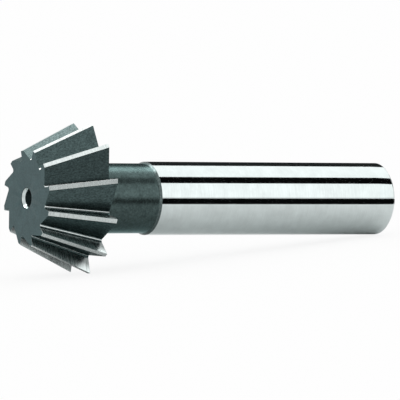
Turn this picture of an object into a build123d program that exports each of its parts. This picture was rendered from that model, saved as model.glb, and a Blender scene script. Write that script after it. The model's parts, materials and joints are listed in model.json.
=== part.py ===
from build123d import *
import math
import os

# An angle milling cutter, turned, fluted and ground from one piece of tool steel.
# Straight teeth stand on a cone that widens towards the shank, so the small face is the front.
# The tool is built along its own axis, from the front face at X = 0 to the shank's end, and
# then laid down as it rests: on two neighbouring teeth and on the end of its shank.
# Lengths are in millimetres and angles in degrees.

# Cutting head
head_d = 25.0  # over the cutting edges at the large end
head_len = 10.0  # from the front face to the back face
flank_deg = 25.0  # from the axis to a cutting edge
tooth_count = 12
land_w = 0.75  # ground land behind a cutting edge, halfway along it
relief_deg = 8.0  # fall of the land behind its edge
gullet_front = 1.7  # depth from the edge to the root at the front face
gullet_back = 3.0  # the same at the back face
root_r = 0.4  # hollow along the root of a gullet

# Neck
neck_d = 11.4
neck_len = 11.4  # from the back face to the step
neck_corner_r = 0.8  # hollow where the neck meets the back face
step_len = 0.35  # bevel that leads from the neck up to the shank

# Shank
shank_d = 12.0
shank_len = 45.6  # from the step to the end
end_bevel = 0.5  # bevel round the end, at 45 degrees

# Centre hole in each end, on which the tool was turned and ground
centre_d = 3.35  # at the mouth
centre_deg = 60.0  # across the cone
pilot_d = 1.6
pilot_len = 1.9  # straight wall below the cone
drill_deg = 118.0  # across the point at the bottom

# Worked out from the sizes above
edge_back_r = head_d / 2
edge_front_r = edge_back_r - head_len * math.tan(math.radians(flank_deg))
step_at = head_len + neck_len
overall_len = step_at + shank_len
pitch_deg = 360 / tooth_count
tool_reach = head_d + head_len  # longer than any tooth


def over_axis(along, radius):
    """A point straight above the axis, at a distance from the front face."""
    return Vector(along, 0, radius)


def blank():
    """The turned bar. Its cone is left one land's width proud, to be ground away."""
    neck_r = neck_d / 2
    shank_r = shank_d / 2
    corner_end = head_len + neck_corner_r
    outline = [
        Line((0, 0), (0, edge_front_r + land_w)),
        Line((0, edge_front_r + land_w), (head_len, edge_back_r + land_w)),
        Line((head_len, edge_back_r + land_w), (head_len, neck_r + neck_corner_r)),
        CenterArc((corner_end, neck_r + neck_corner_r), neck_corner_r, 180, 90),
        Line((corner_end, neck_r), (step_at, neck_r)),
        Line((step_at, neck_r), (step_at + step_len, shank_r)),
        Line((step_at + step_len, shank_r), (overall_len - end_bevel, shank_r)),
        Line((overall_len - end_bevel, shank_r), (overall_len, shank_r - end_bevel)),
        Line((overall_len, shank_r - end_bevel), (overall_len, 0)),
        Line((overall_len, 0), (0, 0)),
    ]
    return revolve(make_face(outline), Axis.X)


def land_plane():
    """The plane of one tooth's land: X runs along the cutting edge and Z points outwards."""
    front = over_axis(0, edge_front_r)
    back = over_axis(head_len, edge_back_r)
    sideways = Vector(0, 1, 0)
    level = Plane((front + back) / 2, x_dir=back - front, z_dir=(back - front).cross(sideways))
    return level.rotated((relief_deg, 0, 0))


def above_land():
    """What grinding takes off outside one land, half a pitch to each side of its edge."""
    pitch_w = 2 * edge_back_r * math.sin(math.radians(pitch_deg / 2))
    return extrude(land_plane() * Rectangle(2 * tool_reach, pitch_w), tool_reach)


def gullet():
    """The V between two teeth: a radial rake face, and the straight back of the next tooth."""
    front = over_axis(0, edge_front_r - gullet_front)
    back = over_axis(head_len, edge_back_r - gullet_back)
    section = Plane((front + back) / 2, x_dir=(0, 1, 0), z_dir=back - front)

    heel = land_plane().from_local_coords(Vector(0, -land_w, 0)).rotate(Axis.X, -pitch_deg)
    heel_in_section = section.to_local_coords(heel)
    back_deg = math.degrees(math.atan2(heel_in_section.Y, heel_in_section.X))

    rake_top = Vector(0, tool_reach)
    back_top = Vector(tool_reach, 0).rotate(Axis.Z, back_deg)
    corner = Polygon((0, 0), back_top, rake_top, align=None)
    root = corner.vertices().sort_by_distance((0, 0))[0]
    return extrude(section * fillet(root, root_r), tool_reach, both=True)


def centre_hole():
    """A centre drill's hole, from a mouth at X = 0 in the direction of +X."""
    mouth_r = centre_d / 2
    pilot_r = pilot_d / 2
    cone_end = (mouth_r - pilot_r) / math.tan(math.radians(centre_deg / 2))
    pilot_end = cone_end + pilot_len
    tip = pilot_end + pilot_r / math.tan(math.radians(drill_deg / 2))
    outline = Polyline(
        (0, 0), (0, mouth_r), (cone_end, pilot_r), (pilot_end, pilot_r), (tip, 0), close=True
    )
    return revolve(make_face(outline), Axis.X)


def angle_cutter():
    """The finished tool, along X, turned so that two teeth share the lowest place."""
    tool = blank()
    first_tooth = 180 + pitch_deg / 2
    for tooth in range(tooth_count):
        turned = Rot(first_tooth + tooth * pitch_deg, 0, 0)
        tool -= turned * gullet()
        tool -= turned * above_land()
    tool -= centre_hole()
    tool -= Pos(overall_len, 0, 0) * Rot(0, 0, 180) * centre_hole()
    return tool


def lay_down(tool):
    """Tips the tool onto its two lowest teeth and the shank's end, over the origin."""
    head_drop = edge_back_r * math.cos(math.radians(pitch_deg / 2))
    span = overall_len - end_bevel - head_len
    rest_deg = math.degrees(math.atan2(head_drop - shank_d / 2, span))
    resting = Rot(0, rest_deg, 0) * tool
    box = resting.bounding_box()
    middle = box.center()
    return Pos(-middle.X, -middle.Y, -box.min.Z) * resting


os.makedirs("parts", exist_ok=True)
export_step(lay_down(angle_cutter()), "parts/angle_cutter.step")
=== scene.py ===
import json
import math

import bmesh
import bpy
from mathutils import Matrix, Vector


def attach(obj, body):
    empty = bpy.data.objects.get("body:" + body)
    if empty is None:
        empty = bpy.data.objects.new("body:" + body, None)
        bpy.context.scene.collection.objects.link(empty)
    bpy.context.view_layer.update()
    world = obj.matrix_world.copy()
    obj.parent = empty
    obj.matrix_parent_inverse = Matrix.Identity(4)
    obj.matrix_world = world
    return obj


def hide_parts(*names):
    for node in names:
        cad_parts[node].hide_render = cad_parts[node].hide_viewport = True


# An angle milling cutter on a pale floor. One mesh stands for the whole tool, with a finish for
# each kind of surface: ground shank, lands, rake faces and roots, dark neck, face and tooth backs.
# Lengths in the dictionaries are millimetres, angles are degrees.

mm = 0.001

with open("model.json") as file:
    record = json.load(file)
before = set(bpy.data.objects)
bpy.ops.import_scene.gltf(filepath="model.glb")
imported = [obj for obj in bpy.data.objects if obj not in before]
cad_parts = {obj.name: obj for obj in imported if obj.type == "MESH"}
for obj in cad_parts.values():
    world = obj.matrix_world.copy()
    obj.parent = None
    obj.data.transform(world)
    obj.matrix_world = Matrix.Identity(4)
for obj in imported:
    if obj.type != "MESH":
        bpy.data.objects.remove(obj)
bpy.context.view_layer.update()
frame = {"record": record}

# where the tool lies: the record's shank mount gives the axis and the middle of the full shank
mounts = {mount["name"]: mount for mount in frame["record"]["mounts"]}
shankMount = mounts["shank"]

cutterHead = {
    "acrossEdges": 25.0,  # over the cutting edges at the large end
    "length": 10.0,
    "flank": 25.0,  # cutting edge to axis
    "teeth": 12,
    "landWidth": 0.75,
    "relief": 8.0,
    "gulletFront": 1.7,  # edge to root at the front face
    "gulletBack": 3.0,
    "rootRadius": 0.4,
    "edgeBreak": 0.02,  # the honed width along a cutting edge
    "rimBreak": 0.02,  # broken corners round the front and back face
    "rootSteps": 12,  # how finely each strip of a tooth is divided
    "darkRootSteps": 6,  # how many of the root's strips, from the rake's side, take the dark finish of the tooth backs
    "rakeSteps": 3,
    "backSteps": 6,
    "landSteps": 3,
    "slices": 12,  # along the head
    "markShift": 31.0,  # from tooth to tooth, so that no two carry the same marks
}

cutterBody = {
    "neckRadius": 5.7,
    "neckLength": 11.4,
    "neckCorner": 0.8,
    "stepLength": 0.35,
    "shankRadius": shankMount["dims"]["r_mm"],
    "shankLength": shankMount["dims"]["length_mm"],
    "endBevel": 0.5,
    "cornerBreak": 0.06,
    "around": 192,  # steps round the axis
    "ringEvery": 2.5,  # along the shank
    "neckRings": 8,
    "neckCornerSteps": 10,
    "endRing": 0.7,  # where a ring divides the end face, as a share of its radius
    "creaseAngle": 22.0,  # surfaces that meet at a sharper turn keep a crisp edge
}

centreHole = {
    "mouthRadius": 1.675,
    "pilotRadius": 0.8,
    "coneAngle": 60.0,
    "pilotDepth": 1.9,
    "drillAngle": 118.0,
    "mouthBreak": 0.05,
    "seatDepth": 0.5,  # how far in the lathe's centre has polished the cone
}

finishNames = ["shankGround", "landGround", "edgeHoned", "rakeGround", "rootGround", "darkTurned",
               "stepTurned", "darkFaced", "darkGullet", "seatPolished", "holeDark", "endTurned"]
finishIndex = {name: index for index, name in enumerate(finishNames)}


def lieOfTheTool():
    along = Vector(shankMount["axis"]).normalized()
    across = Vector((0, 1, 0))
    over = along.cross(across).normalized()
    toMiddle = cutterHead["length"] + cutterBody["neckLength"] + cutterBody["stepLength"]
    toMiddle += cutterBody["shankLength"] / 2
    front = Vector(shankMount["pos_m"]) - along * toMiddle * mm
    place = Matrix((along, across, over)).transposed().to_4x4()
    place.translation = front
    return place


toolPlace = lieOfTheTool()  # tool's own X runs from the front face to the shank's end, Z is up


def lineThrough(point, direction):
    # the line's two points in the planes of the front face and the back face
    reach = cutterHead["length"]
    return [point + direction * ((plane - point.x) / direction.x) for plane in (0.0, reach)]


def between(first, last, steps):
    # lines that divide the strip between two lines, the first one included
    strip = []
    for step in range(steps):
        share = step / steps
        strip.append([a.lerp(b, share) for a, b in zip(first, last)])
    return strip


def toothSection():
    # one pitch of the teeth as lines along the head, from a cutting edge over its rake face and
    # the root to the next tooth's back and land
    head = cutterHead
    flank = math.radians(head["flank"])
    relief = math.radians(head["relief"])
    largeRadius = head["acrossEdges"] / 2
    smallRadius = largeRadius - head["length"] * math.tan(flank)
    sideways = Vector((0, 1, 0))
    toNext = Matrix.Rotation(math.radians(-360 / head["teeth"]), 3, "X")

    edgeFront = Vector((0, 0, smallRadius))
    edgeBack = Vector((head["length"], 0, largeRadius))
    edgeMiddle = (edgeFront + edgeBack) / 2
    edgeRun = (edgeBack - edgeFront).normalized()
    outward = edgeRun.cross(sideways)
    landAcross = sideways * math.cos(relief) + outward * math.sin(relief)
    landNormal = outward * math.cos(relief) - sideways * math.sin(relief)

    rootFront = edgeFront - Vector((0, 0, head["gulletFront"]))
    rootBack = edgeBack - Vector((0, 0, head["gulletBack"]))
    rootMiddle = (rootFront + rootBack) / 2
    rootRun = (rootBack - rootFront).normalized()
    rootUp = rootRun.cross(sideways)

    heel = toNext @ (edgeMiddle - landAcross * head["landWidth"])
    toHeel = heel - rootMiddle
    backSlope = math.atan2(toHeel.dot(rootUp), toHeel.dot(sideways))
    backAcross = sideways * math.cos(backSlope) + rootUp * math.sin(backSlope)
    heelRun = rootRun.cross(backAcross).cross(toNext @ landNormal)

    halfOpening = (math.pi / 2 - backSlope) / 2
    toTangent = head["rootRadius"] / math.tan(halfOpening)
    bisector = (math.pi / 2 + backSlope) / 2
    toCentre = head["rootRadius"] / math.sin(halfOpening)
    arcCentre = rootMiddle + (sideways * math.cos(bisector) + rootUp * math.sin(bisector)) * toCentre
    arcStart = math.pi
    arcEnd = backSlope + 1.5 * math.pi

    edgeBreak = head["edgeBreak"]
    edge = lineThrough(edgeMiddle - outward * edgeBreak, edgeRun)
    rakeEnd = lineThrough(rootMiddle + rootUp * toTangent, rootRun)
    backStart = lineThrough(rootMiddle + backAcross * toTangent, rootRun)
    heelLine = lineThrough(heel, heelRun)
    landEnd = lineThrough(toNext @ (edgeMiddle - landAcross * edgeBreak), toNext @ edgeRun)

    lines = []
    kinds = []

    def strip(newLines, kind):
        lines.extend(newLines)
        kinds.extend([kind] * len(newLines))

    strip(between(edge, rakeEnd, head["rakeSteps"]), "rakeGround")
    for step in range(head["rootSteps"]):
        turn = arcStart + (arcEnd - arcStart) * step / head["rootSteps"]
        spoke = sideways * math.cos(turn) + rootUp * math.sin(turn)
        kind = "darkGullet" if step < head["darkRootSteps"] else "rootGround"
        strip([lineThrough(arcCentre + spoke * head["rootRadius"], rootRun)], kind)
    strip(between(backStart, heelLine, head["backSteps"]), "darkGullet")
    strip(between(heelLine, landEnd, head["landSteps"]), "landGround")
    strip([landEnd], "edgeHoned")
    return lines, kinds


def shrunk(ring, amount):
    # the ring's outline moved inwards within its plane
    moved = []
    count = len(ring)
    for index, point in enumerate(ring):
        before = (point - ring[index - 1]).normalized()
        after = (ring[(index + 1) % count] - point).normalized()
        inwards = [Vector((0, side.z, -side.y)) for side in (before, after)]
        moved.append(point + (inwards[0] + inwards[1]) * (amount / (1 + inwards[0].dot(inwards[1]))))
    return moved


def joinRings(mesh, low, high, kinds, grain=None):
    # a band of quads between two closed rings of vertices
    grindMap = mesh.loops.layers.uv["grindMarks"]
    count = len(low)
    for index in range(count):
        after = (index + 1) % count
        face = mesh.faces.new((low[index], low[after], high[after], high[index]))
        face.material_index = finishIndex[kinds[index]]
        face.smooth = True
        if grain:
            for loop, mark in zip(face.loops, grain(index)):
                loop[grindMap].uv = mark


def addRing(mesh, points):
    return [mesh.verts.new(point) for point in points]


def fillFace(mesh, outer, inner, kind):
    # a flat face between two closed outlines
    border = []
    for ring in (outer, inner):
        for index, corner in enumerate(ring):
            pair = (ring[index - 1], corner)
            border.append(mesh.edges.get(pair) or mesh.edges.new(pair))
    filled = bmesh.ops.triangle_fill(mesh, use_beauty=True, edges=border)
    for face in filled["geom"]:
        if isinstance(face, bmesh.types.BMFace):
            face.material_index = finishIndex[kind]
            face.smooth = False


def addHead(mesh):
    head = cutterHead
    pitch = 360 / head["teeth"]
    lines, kinds = toothSection()
    perTooth = len(lines)
    firstTooth = 180 + pitch / 2  # so that two teeth share the lowest place
    turns = [Matrix.Rotation(math.radians(firstTooth - pitch * tooth), 3, "X")
             for tooth in range(head["teeth"])]

    across = [0.0]  # the way along the section at the large end
    for index in range(1, perTooth + 1):
        here = lines[index][1] if index < perTooth else turns[1] @ (turns[0].inverted() @ lines[0][1])
        across.append(across[-1] + (here - lines[index - 1][1]).length)

    rim = head["rimBreak"]
    stations = [rim + (head["length"] - 2 * rim) * s / head["slices"] for s in range(head["slices"] + 1)]
    stations = [0.0] + stations + [head["length"]]

    def ringAt(station):
        share = station / head["length"]
        return [turn @ line[0].lerp(line[1], share) for turn in turns for line in lines]

    rings = [ringAt(station) for station in stations]
    rings[0] = shrunk(rings[0], rim)
    rings[-1] = shrunk(rings[-1], rim)

    rows = [addRing(mesh, ring) for ring in rings]
    for row in range(len(rows) - 1):
        low, high = stations[row], stations[row + 1]

        def grain(index):
            tooth, strip = divmod(index, perTooth)
            start, end = across[strip], across[strip + 1]
            shift = head["markShift"] * tooth
            return [(low + shift, start), (low + shift, end), (high + shift, end), (high + shift, start)]

        joinRings(mesh, rows[row], rows[row + 1], kinds * head["teeth"], grain)
    return rows[0], rows[-1]


def roundedCorner(before, corner, after, radius, steps=4):
    # points of a small arc in place of a profile's corner
    corner = Vector(corner)
    inTo = (Vector(before) - corner).normalized()
    outTo = (Vector(after) - corner).normalized()
    start = corner + inTo * radius
    end = corner + outTo * radius
    return [((1 - t) ** 2) * start + 2 * t * (1 - t) * corner + t ** 2 * end
            for t in [step / steps for step in range(steps + 1)]]


def turnProfile(mesh, profile, kinds, firstRing=None):
    # spins (along, radius) points round the tool's axis, and closes on the axis if the last is 0
    around = cutterBody["around"]
    rings = []
    for along, radius in profile:
        if radius == 0:
            rings.append([mesh.verts.new((along, 0, 0))])
            continue
        spin = [2 * math.pi * step / around for step in range(around)]
        rings.append(addRing(mesh, [(along, radius * math.sin(a), radius * math.cos(a)) for a in spin]))
    for index in range(len(rings) - 1):
        low, high = rings[index], rings[index + 1]
        if len(high) > 1:
            joinRings(mesh, low, high, [kinds[index]] * around)
            continue
        for step in range(around):
            face = mesh.faces.new((low[step], low[(step + 1) % around], high[0]))
            face.material_index = finishIndex[kinds[index]]
            face.smooth = True
    return rings


def holeProfile(mouthAt, inward):
    hole = centreHole
    mouth, pilot = hole["mouthRadius"], hole["pilotRadius"]
    coneDepth = (mouth - pilot) / math.tan(math.radians(hole["coneAngle"] / 2))
    wallEnd = coneDepth + hole["pilotDepth"]
    tip = wallEnd + pilot / math.tan(math.radians(hole["drillAngle"] / 2))
    onFace = (0, 2 * mouth)
    corner = roundedCorner(onFace, (0, mouth), (coneDepth, pilot), hole["mouthBreak"])
    seatRadius = mouth + (pilot - mouth) * hole["seatDepth"] / coneDepth
    deeper = [(hole["seatDepth"], seatRadius), (coneDepth, pilot), (wallEnd, pilot), (tip, 0)]
    # the mouth's corner and the cone, pilot and tip beyond the seat are near black: the tool's dark skin
    # with painted shade in the hole; the seat that the lathe's centre polished stays bright
    kinds = ["holeDark"] * (len(corner) - 1) + ["seatPolished"] + ["holeDark"] * len(deeper)
    profile = [(mouthAt + inward * depth, radius) for depth, radius in corner + deeper]
    return profile, kinds


def bodyProfile():
    body = cutterBody
    neck, shank = body["neckRadius"], body["shankRadius"]
    corner, breakSize = body["neckCorner"], body["cornerBreak"]
    backFace = cutterHead["length"]
    step = backFace + body["neckLength"]
    full = step + body["stepLength"]
    fullEnd = full + body["shankLength"]
    end = fullEnd + body["endBevel"]
    endRadius = shank - body["endBevel"]

    profile = []
    kinds = []

    def run(points, kind):
        profile.extend(tuple(point) for point in points)
        kinds.extend([kind] * len(points))

    arcSteps = body["neckCornerSteps"]
    for index in range(arcSteps + 1):
        turn = math.pi / 2 * index / arcSteps
        along = backFace + corner * (1 - math.cos(turn))
        run([(along, neck + corner * (1 - math.sin(turn)))], "darkTurned")
    neckRings = body["neckRings"]
    for index in range(1, neckRings):
        run([(backFace + corner + (step - backFace - corner) * index / neckRings, neck)], "darkTurned")
    run(roundedCorner((backFace, neck), (step, neck), (full, shank), breakSize), "darkTurned")
    kinds[-1] = "stepTurned"
    run(roundedCorner((step, neck), (full, shank), (fullEnd, shank), breakSize), "stepTurned")
    groundFrom = full + breakSize
    shankRings = round((fullEnd - groundFrom) / body["ringEvery"])
    for index in range(shankRings):
        run([(groundFrom + (fullEnd - groundFrom) * index / shankRings, shank)], "shankGround")
    run(roundedCorner((full, shank), (fullEnd, shank), (end, endRadius), breakSize), "shankGround")
    run(roundedCorner((fullEnd, shank), (end, endRadius), (end, 0), breakSize), "endTurned")
    run([(end, endRadius * body["endRing"])], "endTurned")
    hole, holeKinds = holeProfile(end, -1)
    return profile + hole, kinds + holeKinds


def buildCutter():
    mesh = bmesh.new()
    mesh.loops.layers.uv.new("grindMarks")
    frontOutline, backOutline = addHead(mesh)
    bodyRings = turnProfile(mesh, *bodyProfile())
    fillFace(mesh, backOutline, bodyRings[0], "darkFaced")
    holeRings = turnProfile(mesh, *holeProfile(0.0, 1))
    fillFace(mesh, frontOutline, holeRings[0], "darkFaced")
    bmesh.ops.recalc_face_normals(mesh, faces=mesh.faces)
    bmesh.ops.transform(mesh, matrix=toolPlace @ Matrix.Scale(mm, 4), verts=mesh.verts)
    data = bpy.data.meshes.new("angleCutter")
    mesh.to_mesh(data)
    mesh.free()
    data.set_sharp_from_angle(angle=math.radians(cutterBody["creaseAngle"]))
    piece = bpy.data.objects.new("angleCutter", data)
    bpy.context.scene.collection.objects.link(piece)
    weighted = piece.modifiers.new("flatFaces", "WEIGHTED_NORMAL")
    weighted.keep_sharp = True
    weighted.weight = 60
    return piece


# Finishes. "marks" says which way the tool marks run, "perMm" how many there are to a millimetre,
# "shade" how much they change the colour and "height" how deep they are. Stains and grain are the
# slow and the fine variation of the colour, with their sizes. The edge tint is the colour that a
# flat glance shows. On the rake faces the colour carries painted light and shade: it is lighter at
# the cutting edge and darker deeper into the gullet, over the given width and with the given
# strength at both ends.
finishes = {
    "shankGround": {
        "colour": (0.61, 0.67, 0.664), "roughness": (0.04, 0.08),
        "marks": "round", "perMm": 14.0, "alongMarks": 0.25, "shade": 0.05, "height": 0.00006,
        "stain": 0.06, "stainSize": 2.2, "grain": 0.0, "grainSize": 0.3,
    },
    "landGround": {
        "colour": (0.57, 0.62, 0.612), "roughness": (0.20, 0.30),
        "marks": "overTooth", "perMm": 6.0, "alongMarks": 0.6, "shade": 0.16, "height": 0.0004,
        "stain": 0.05, "stainSize": 1.5, "grain": 0.08, "grainSize": 0.25,
    },
    "edgeHoned": {
        "colour": (0.28, 0.32, 0.32), "roughness": (0.26, 0.32),
        "marks": "alongTooth", "perMm": 8.0, "alongMarks": 0.3, "shade": 0.10, "height": 0.00005,
        "stain": 0.20, "stainSize": 1.5, "grain": 0.0, "grainSize": 0.3,
    },
    "rakeGround": {
        "colour": (0.42, 0.46, 0.455), "edgeTint": (0.22, 0.26, 0.26), "roughness": (0.24, 0.32),
        "marks": "overTooth", "perMm": 3.5, "alongMarks": 0.3, "shade": 0.28, "height": 0.0002,
        "stain": 0.05, "stainSize": 1.5, "grain": 0.05, "grainSize": 0.25,
        # painted light and shade: lighter at the cutting edge, darker deeper into the gullet
        "fade": (1.5, 1.7, 0.5),
    },
    "rootGround": {
        "colour": (0.74, 0.80, 0.795), "roughness": (0.12, 0.18),
        "marks": "alongTooth", "perMm": 8.0, "alongMarks": 0.4, "shade": 0.10, "height": 0.0001,
        "stain": 0.10, "stainSize": 0.8, "grain": 0.0, "grainSize": 0.3,
    },
    "darkTurned": {
        "colour": (0.058, 0.085, 0.083), "edgeTint": (0.8, 1.0, 1.0), "roughness": (0.24, 0.28),
        "marks": "round", "perMm": 5.0, "alongMarks": 0.2, "shade": 0.03, "height": 0.00003,
        "stain": 0.18, "stainSize": 1.3, "grain": 0.22, "grainSize": 0.34,
    },
    "stepTurned": {
        "colour": (0.10, 0.13, 0.128), "roughness": (0.16, 0.20),
        "marks": "round", "perMm": 12.0, "alongMarks": 0.2, "shade": 0.10, "height": 0.0002,
        "stain": 0.20, "stainSize": 0.5, "grain": 0.2, "grainSize": 0.25,
    },
    "darkFaced": {
        "colour": (0.050, 0.088, 0.092), "roughness": (0.30, 0.38),
        "marks": "rings", "perMm": 5.0, "alongMarks": 0.2, "shade": 0.06, "height": 0.0008,
        "stain": 0.12, "stainSize": 1.6, "grain": 0.16, "grainSize": 0.3,
    },
    "darkGullet": {
        "colour": (0.058, 0.086, 0.086), "edgeTint": (0.4, 0.46, 0.46), "roughness": (0.25, 0.31),
        "marks": "alongTooth", "perMm": 5.0, "alongMarks": 0.4, "shade": 0.12, "height": 0.0004,
        "stain": 0.16, "stainSize": 1.2, "grain": 0.36, "grainSize": 0.32,
    },
    "seatPolished": {
        "colour": (0.60, 0.67, 0.66), "roughness": (0.10, 0.16),
        "marks": "round", "perMm": 8.0, "alongMarks": 0.3, "shade": 0.10, "height": 0.0002,
        "stain": 0.20, "stainSize": 0.8, "grain": 0.0, "grainSize": 0.3,
    },
    # painted shade: near black inside the centre hole, darker than the tool's own dark skin
    "holeDark": {
        "colour": (0.010, 0.016, 0.016), "roughness": (0.35, 0.45),
        "marks": "round", "perMm": 8.0, "alongMarks": 0.3, "shade": 0.10, "height": 0.0004,
        "stain": 0.05, "stainSize": 1.0, "grain": 0.0, "grainSize": 0.3,
    },
    "endTurned": {
        "colour": (0.55, 0.61, 0.60), "roughness": (0.16, 0.26),
        "marks": "rings", "perMm": 7.0, "alongMarks": 0.3, "shade": 0.08, "height": 0.001,
        "stain": 0.04, "stainSize": 2.0, "grain": 0.04, "grainSize": 0.3,
    },
}


def addNode(tree, kind, **inputs):
    node = tree.nodes.new(kind)
    for name, value in inputs.items():
        setattr(node, name, value)
    return node


def markCoordinates(tree, look):
    # coordinates in millimetres, drawn out along the tool marks
    fine, slow = look["perMm"], look["alongMarks"]
    scale = addNode(tree, "ShaderNodeVectorMath", operation="MULTIPLY")
    if look["marks"] in ("overTooth", "alongTooth"):
        source = addNode(tree, "ShaderNodeUVMap", uv_map="grindMarks")
        tree.links.new(source.outputs["UV"], scale.inputs[0])
        stretch = (fine, slow, 1) if look["marks"] == "overTooth" else (slow, fine, 1)
        scale.inputs[1].default_value = stretch
        return source.outputs["UV"], scale.outputs[0]
    source = addNode(tree, "ShaderNodeTexCoord")
    inMm = addNode(tree, "ShaderNodeMapping", vector_type="TEXTURE")  # to the tool's own frame
    inMm.inputs["Location"].default_value = toolPlace.translation
    inMm.inputs["Rotation"].default_value = toolPlace.to_euler()
    inMm.inputs["Scale"].default_value = (mm, mm, mm)
    tree.links.new(source.outputs["Object"], inMm.inputs["Vector"])
    if look["marks"] == "round":
        scale.inputs[1].default_value = (fine, slow, slow)
        tree.links.new(inMm.outputs[0], scale.inputs[0])
        return inMm.outputs[0], scale.outputs[0]
    flat = addNode(tree, "ShaderNodeVectorMath", operation="MULTIPLY")
    flat.inputs[1].default_value = (0, 1, 1)
    radius = addNode(tree, "ShaderNodeVectorMath", operation="LENGTH")
    ringed = addNode(tree, "ShaderNodeCombineXYZ")
    spread = addNode(tree, "ShaderNodeVectorMath", operation="MULTIPLY_ADD")
    tree.links.new(inMm.outputs[0], flat.inputs[0])
    tree.links.new(flat.outputs[0], radius.inputs[0])
    tree.links.new(radius.outputs["Value"], ringed.inputs["X"])
    scale.inputs[1].default_value = (fine, 0, 0)
    tree.links.new(ringed.outputs[0], scale.inputs[0])
    tree.links.new(flat.outputs[0], spread.inputs[0])
    spread.inputs[1].default_value = (0, slow, slow)
    tree.links.new(scale.outputs[0], spread.inputs[2])
    return inMm.outputs[0], spread.outputs[0]


def addNoise(tree, coordinates, scale, detail):
    noise = addNode(tree, "ShaderNodeTexNoise")
    noise.inputs["Scale"].default_value = scale
    noise.inputs["Detail"].default_value = detail
    noise.inputs["Roughness"].default_value = 0.6
    tree.links.new(coordinates, noise.inputs["Vector"])
    return noise.outputs["Fac"]


def addRange(tree, noise, low, high):
    # the noise's usual values, stretched from low to high
    stretch = addNode(tree, "ShaderNodeMapRange")
    stretch.inputs["From Min"].default_value = 0.3
    stretch.inputs["From Max"].default_value = 0.7
    stretch.inputs["To Min"].default_value = low
    stretch.inputs["To Max"].default_value = high
    tree.links.new(noise, stretch.inputs["Value"])
    return stretch.outputs["Result"]


def makeFinish(name):
    look = finishes[name]
    material = bpy.data.materials.new(name)
    material.use_nodes = True
    tree = material.node_tree
    shader = tree.nodes["Principled BSDF"]
    shader.inputs["Metallic"].default_value = 1.0
    shader.inputs["Specular Tint"].default_value = (*look.get("edgeTint", (1, 1, 1)), 1)

    plain, drawnOut = markCoordinates(tree, look)
    marks = addNoise(tree, drawnOut, scale=1.0, detail=3.0)
    stains = addNoise(tree, plain, scale=1 / look["stainSize"], detail=3.0)
    grain = addNoise(tree, plain, scale=1 / look["grainSize"], detail=1.0)

    roughness = addRange(tree, marks, *look["roughness"])
    tree.links.new(roughness, shader.inputs["Roughness"])

    strength = None
    for noise, amount in ((marks, look["shade"]), (stains, look["stain"]), (grain, look["grain"])):
        factor = addRange(tree, noise, 1 - amount, 1 + amount)
        if strength is None:
            strength = factor
            continue
        product = addNode(tree, "ShaderNodeMath", operation="MULTIPLY")
        tree.links.new(strength, product.inputs[0])
        tree.links.new(factor, product.inputs[1])
        strength = product.outputs[0]
    # painted light and shade on the rake faces: the colour grows lighter towards the cutting edge and
    # darker deeper into the gullet
    if "fade" in look:
        width, atEdge, inside = look["fade"]
        parts = addNode(tree, "ShaderNodeSeparateXYZ")
        tree.links.new(plain, parts.inputs[0])
        fade = addNode(tree, "ShaderNodeMapRange")
        fade.inputs["From Max"].default_value = width
        fade.inputs["To Min"].default_value = atEdge
        fade.inputs["To Max"].default_value = inside
        tree.links.new(parts.outputs["Y"], fade.inputs["Value"])
        withGulletShade = addNode(tree, "ShaderNodeMath", operation="MULTIPLY")
        tree.links.new(strength, withGulletShade.inputs[0])
        tree.links.new(fade.outputs["Result"], withGulletShade.inputs[1])
        strength = withGulletShade.outputs[0]
    tone = addNode(tree, "ShaderNodeVectorMath", operation="SCALE")
    tone.inputs[0].default_value = look["colour"]
    tree.links.new(strength, tone.inputs["Scale"])
    tree.links.new(tone.outputs[0], shader.inputs["Base Color"])

    bump = addNode(tree, "ShaderNodeBump")
    bump.inputs["Strength"].default_value = 1.0
    bump.inputs["Distance"].default_value = look["height"] * mm
    tree.links.new(marks, bump.inputs["Height"])
    tree.links.new(bump.outputs["Normal"], shader.inputs["Normal"])
    return material


cutter = buildCutter()
for finishName in finishNames:
    cutter.data.materials.append(makeFinish(finishName))
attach(cutter, "root")
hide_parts("angle_cutter")
print("cutter:", len(cutter.data.polygons), "faces,", len(finishNames), "finishes")

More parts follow.
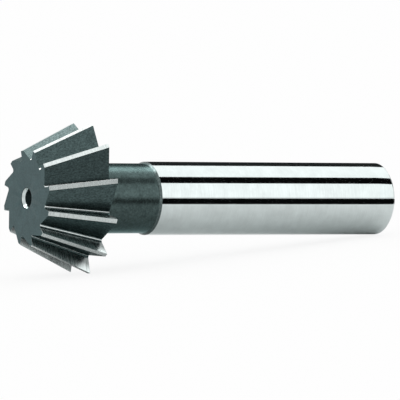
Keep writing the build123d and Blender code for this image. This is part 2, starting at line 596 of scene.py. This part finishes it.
# The studio. Angles go round the tool's axis: 0 is level on the camera's side, 90 is up. Starts and
# ends lie along the axis, from the tool's front face. Level 1 is white, and a lamp's level comes on
# top of the room's.
studio = {
    "roomLevel": 1.0,  # the pale room that lights everything evenly
    "floorColour": (0.93, 0.93, 0.93),
    "floorSize": 24000.0,
    "shadowLift": 0.86,  # how far the floor's shadows are lifted to white, for the camera alone
    "lampDistance": 2000.0,
    # two white bands along the shank, light on the head and the neck, and small bright spots for
    # the neck, the lands and the step
    "lamps": [
        {"name": "topLamp", "from": 72.0, "to": 126.5, "start": 650.0, "end": 2400.0, "level": 0.42},
        {"name": "frontLamp", "from": 3.9, "to": 49.4, "start": 650.0, "end": 2400.0, "level": 0.42},
        {"name": "headLamp", "from": 49.0, "to": 131.0, "start": -900.0, "end": 640.0, "level": 0.4},
        {"name": "neckLamp", "from": 49.5, "to": 72.5, "start": 640.0, "end": 900.0, "level": 1.2},
        {"name": "hotSpot", "from": 97.0, "to": 119.0, "start": 620.0, "end": 985.0, "level": 5.6,
         "nearness": 0.9},
        {"name": "warmSpot", "from": 97.0, "to": 118.0, "start": 175.0, "end": 620.0, "level": 4.8,
         "nearness": 0.9, "colour": (1.25, 1.0, 0.98)},
        {"name": "stepSpot", "from": 92.0, "to": 124.0, "start": -1000.0, "end": -300.0, "level": 4.0,
         "nearness": 0.9},
    ],
    # black and dark cards that only glossy surfaces see, each of one even level: they make the
    # shank's black bands and the shade on the camera's side
    "cardDistance": 1800.0,
    "cardTint": (0.87, 1.0, 0.99),
    "cards": [
        {"name": "backCard", "from": 126.5, "to": 182.0, "start": 900.0, "end": 3500.0, "level": 0.02},
        {"name": "gapCard", "from": 49.4, "to": 72.0, "start": 850.0, "end": 3500.0, "level": 0.003},
        {"name": "cameraCard", "from": -1.5, "to": 49.0, "start": -560.0, "end": 250.0, "level": 0.07},
    ],
    # one more lies on the floor in front of the shank. Its far and near edge, as (angle, end), are
    # the lines that the shank mirrors at these angles. Start and end count from the mirrored step.
    "floorCard": {"name": "floorCard", "edges": [(1.3, 300.0), (-17.0, 55.0)], "start": -20.0,
                  "level": 0.003, "lift": 0.2},
}


def onTool(along, away, degrees):
    turn = math.radians(degrees)
    local = Vector((along, -away * math.cos(turn), away * math.sin(turn))) * mm
    return toolPlace @ local


def addLamp(lamp):
    name = lamp["name"]
    spread = lamp["to"] - lamp["from"]
    distance = studio["lampDistance"] * lamp.get("nearness", 1.0)
    width = 2 * distance * math.tan(math.radians(spread / 2)) * mm
    length = (lamp["end"] - lamp["start"]) * mm
    light = bpy.data.lights.new(name, "AREA")
    light.shape = "RECTANGLE"
    light.size = length
    light.size_y = width
    light.energy = math.pi * lamp["level"] * length * width  # watts that give the level
    light.color = lamp.get("colour", (1, 1, 1))
    holder = bpy.data.objects.new(name, light)
    bpy.context.scene.collection.objects.link(holder)
    middle = (lamp["from"] + lamp["to"]) / 2
    along = (lamp["start"] + lamp["end"]) / 2
    centre = onTool(along, distance, middle)
    away = (centre - onTool(along, 0, 0)).normalized()
    axis = toolPlace.to_3x3() @ Vector((1, 0, 0))
    basis = Matrix((axis, away.cross(axis), away)).transposed().to_4x4()
    basis.translation = centre
    holder.matrix_world = basis
    holder.visible_camera = False
    holder.visible_diffuse = False


def stageMesh(name, points, faces, material):
    data = bpy.data.meshes.new(name)
    data.from_pydata(points, [], faces)
    data.materials.append(material)
    piece = bpy.data.objects.new(name, data)
    bpy.context.scene.collection.objects.link(piece)
    return piece


def onlyInReflections(piece):
    piece.visible_camera = False
    piece.visible_diffuse = False
    piece.visible_shadow = False
    piece.visible_transmission = False


def cardMaterial(card):
    material = bpy.data.materials.new(card["name"])
    material.use_nodes = True
    tree = material.node_tree
    tree.nodes.remove(tree.nodes["Principled BSDF"])
    shine = addNode(tree, "ShaderNodeEmission")
    shine.inputs["Color"].default_value = (*(card["level"] * tint for tint in studio["cardTint"]), 1)
    tree.links.new(shine.outputs[0], tree.nodes["Material Output"].inputs["Surface"])
    return material


def addCard(card, rows):
    # a sheet of quads over rows of two points, which only reflections show
    points = [point for row in rows for point in row]
    faces = [(here, here + 1, here + 3, here + 2) for here in range(0, len(points) - 2, 2)]
    onlyInReflections(stageMesh(card["name"], points, faces, cardMaterial(card)))


def roundRows(card):
    # the card's rows on a cylinder round the tool
    steps = 8
    rows = []
    for step in range(steps + 1):
        turn = card["from"] + (card["to"] - card["from"]) * step / steps
        ends = (card["start"], card["end"])
        rows.append([onTool(along, studio["cardDistance"], turn) for along in ends])
    return rows


def floorRows(card, view):
    # the card's two edges: each is the line on the floor that the whole shank mirrors at one angle
    sight = (toolPlace.to_3x3().inverted() @ view).normalized()
    groundFrom = cutterHead["length"] + cutterBody["neckLength"] + cutterBody["stepLength"]
    toolEnd = groundFrom + cutterBody["shankLength"]
    rows = []
    for angle, end in card["edges"]:
        half = math.radians(angle / 2)
        normal = Vector((0, -math.cos(half), math.sin(half)))
        mirrored = toolPlace.to_3x3() @ (2 * normal.dot(sight) * normal - sight)
        ends = []
        for along in (groundFrom, toolEnd):
            spot = toolPlace @ ((Vector((along, 0, 0)) + normal * cutterBody["shankRadius"]) * mm)
            ends.append(spot + mirrored * (card["lift"] * mm - spot.z) / mirrored.z)
        run = (ends[1] - ends[0]).normalized()
        rows.append([ends[0] + run * along * mm for along in (card["start"], end)])
    return rows


camera = {
    "azimuth": -30.42,  # round from the tool's side, towards its head
    "above": 3.56,  # the floor
    "roll": -4.951,
    "target": (-0.44, 0.965, 9.395),
    "distance": 734.2,
    "lens": 401.2,
    "sensor": 36.0,
    "sees": (0.01, 50.0),  # metres, nearest and farthest
}


def viewDirection():
    azimuth, above = math.radians(camera["azimuth"]), math.radians(camera["above"])
    return Vector((math.sin(azimuth) * math.cos(above), -math.cos(azimuth) * math.cos(above),
                   math.sin(above)))


def addCamera():
    back = viewDirection()
    right = Vector((0, 0, 1)).cross(back).normalized()
    up = back.cross(right)
    roll = math.radians(camera["roll"])
    rolledRight = right * math.cos(roll) + up * math.sin(roll)
    rolledUp = up * math.cos(roll) - right * math.sin(roll)
    place = Matrix((rolledRight, rolledUp, back)).transposed().to_4x4()
    place.translation = (Vector(camera["target"]) + back * camera["distance"]) * mm
    data = bpy.data.cameras.new("camera")
    data.lens = camera["lens"]
    data.sensor_width = camera["sensor"]
    data.clip_start, data.clip_end = camera["sees"]
    holder = bpy.data.objects.new("camera", data)
    bpy.context.scene.collection.objects.link(holder)
    holder.matrix_world = place
    bpy.context.scene.camera = holder


def addFloor():
    half = studio["floorSize"] / 2 * mm
    corners = [(-half, -half, 0), (half, -half, 0), (half, half, 0), (-half, half, 0)]
    paper = bpy.data.materials.new("floorPaper")
    paper.use_nodes = True
    tree = paper.node_tree
    tree.nodes.remove(tree.nodes["Principled BSDF"])
    matt = addNode(tree, "ShaderNodeBsdfDiffuse")
    matt.inputs["Color"].default_value = (*studio["floorColour"], 1)
    white = addNode(tree, "ShaderNodeEmission")
    rays = addNode(tree, "ShaderNodeLightPath")
    lift = addNode(tree, "ShaderNodeMath", operation="MULTIPLY")
    lift.inputs[1].default_value = studio["shadowLift"]
    mixed = addNode(tree, "ShaderNodeMixShader")
    tree.links.new(rays.outputs["Is Camera Ray"], lift.inputs[0])
    tree.links.new(lift.outputs[0], mixed.inputs["Fac"])
    tree.links.new(matt.outputs[0], mixed.inputs[1])
    tree.links.new(white.outputs[0], mixed.inputs[2])
    tree.links.new(mixed.outputs[0], tree.nodes["Material Output"].inputs["Surface"])
    stageMesh("floor", corners, [(0, 1, 2, 3)], paper)


def addWorld():
    world = bpy.data.worlds.new("paleRoom")
    world.use_nodes = True
    background = world.node_tree.nodes["Background"]
    background.inputs["Color"].default_value = (1, 1, 1, 1)
    background.inputs["Strength"].default_value = studio["roomLevel"]
    world.cycles.sampling_method = "NONE"
    bpy.context.scene.world = world


addFloor()
addWorld()
for lamp in studio["lamps"]:
    addLamp(lamp)
for card in studio["cards"]:
    addCard(card, roundRows(card))
addCard(studio["floorCard"], floorRows(studio["floorCard"], viewDirection()))
addCamera()
bpy.context.scene.view_settings.view_transform = "Standard"
print("studio:", len(studio["lamps"]), "lamps,", len(studio["cards"]) + 1, "cards")
